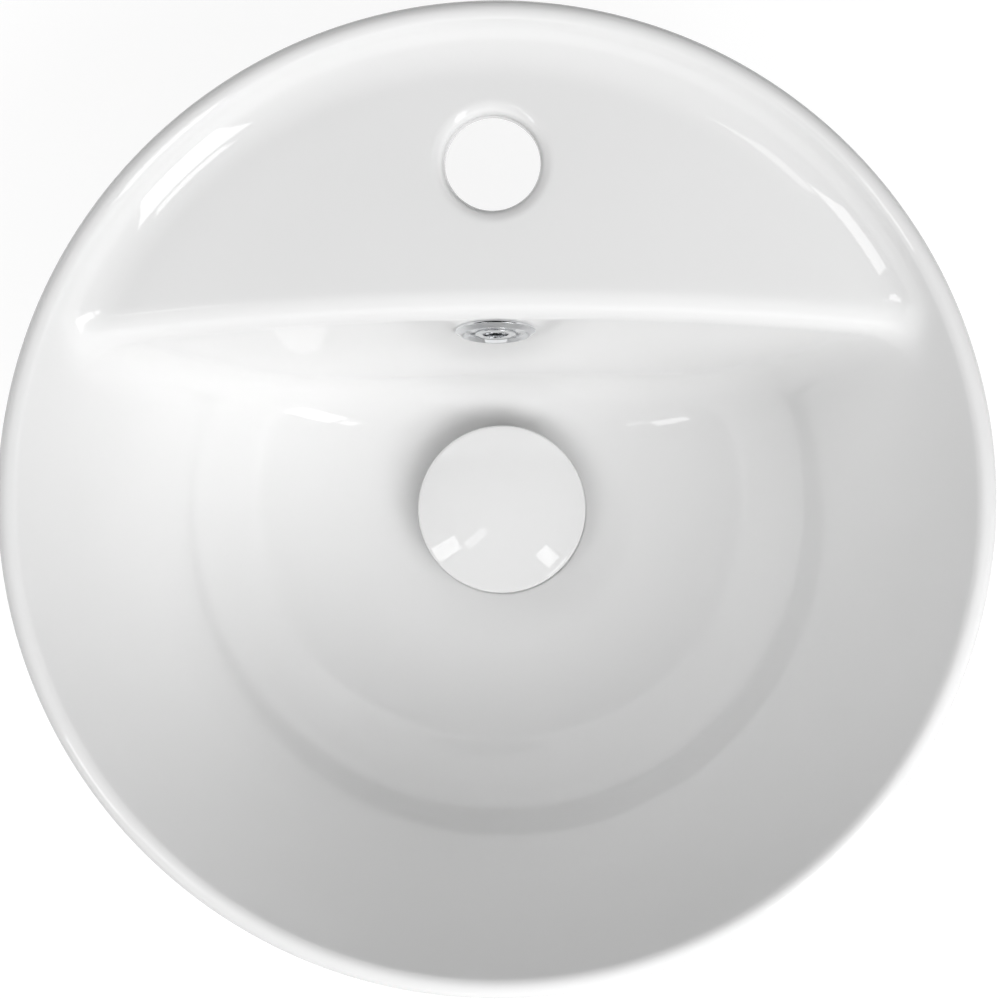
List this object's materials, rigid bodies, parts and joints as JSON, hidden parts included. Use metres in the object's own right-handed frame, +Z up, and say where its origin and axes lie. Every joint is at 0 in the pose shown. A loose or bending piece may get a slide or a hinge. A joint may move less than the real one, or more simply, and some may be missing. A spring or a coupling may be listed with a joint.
{
  "type": "hand basin",
  "caption": "Round countertop hand basin of white glazed ceramic, with a tap ledge, tap hole, chromed overflow ring and a press-to-close waste under a ceramic cap.",
  "frame": {"origin": "on the axis of the waste, in the plane of the countertop that the foot stands on", "axes": "+Z up, +Y towards the tap ledge at the back, +X to the right of a person who faces the basin"},
  "size_m": [0.36, 0.36, 0.202],
  "materials": {
    "white_glaze": "glossy white glaze",
    "chrome": "polished chrome plate",
    "brass": "turned brass",
    "steel": "stainless steel",
    "black_rubber": "matt black rubber",
    "white_plastic": "moulded white plastic",
    "grey_plastic": "moulded grey plastic"
  },
  "bodies": {
    "basin": {"basin_body": "white_glaze", "overflow_ring": "chrome", "overflow_clip": "white_plastic", "waste_body": "chrome", "flange_gasket": "black_rubber", "lower_seal": "black_rubber", "slip_washer": "grey_plastic", "lock_nut": "brass", "plug_housing": "white_plastic", "mounting_stud": "brass", "plug_bonnet": "white_plastic", "stem_seal": "black_rubber", "plug_spring": "steel"},
    "plug": {"waste_cap": "white_glaze", "cap_insert": "brass", "cap_carrier": "white_plastic", "cap_seal": "black_rubber", "plunger": "brass", "spring_washer": "steel"},
    "rotor": {"ratchet_rotor": "grey_plastic"}
  },
  "joints": [
    {"name": "cap_press", "type": "slide", "parent": "basin", "child": "plug", "axis": [0, 0, 1], "range_m": [-0.008, 0], "stiffness_N_per_m": 500, "springref_m": 0.01, "deforming": ["plug_spring"]},
    {"name": "rotor_turn", "type": "hinge", "parent": "plug", "child": "rotor", "pos_m": [0, 0, 0], "axis": [0, 0, 1], "range_deg": [-45, 0]}
  ],
  "couplings": [
    {"joint": "rotor_turn", "follows": "cap_press", "rad_per_m": 98.1}
  ]
}
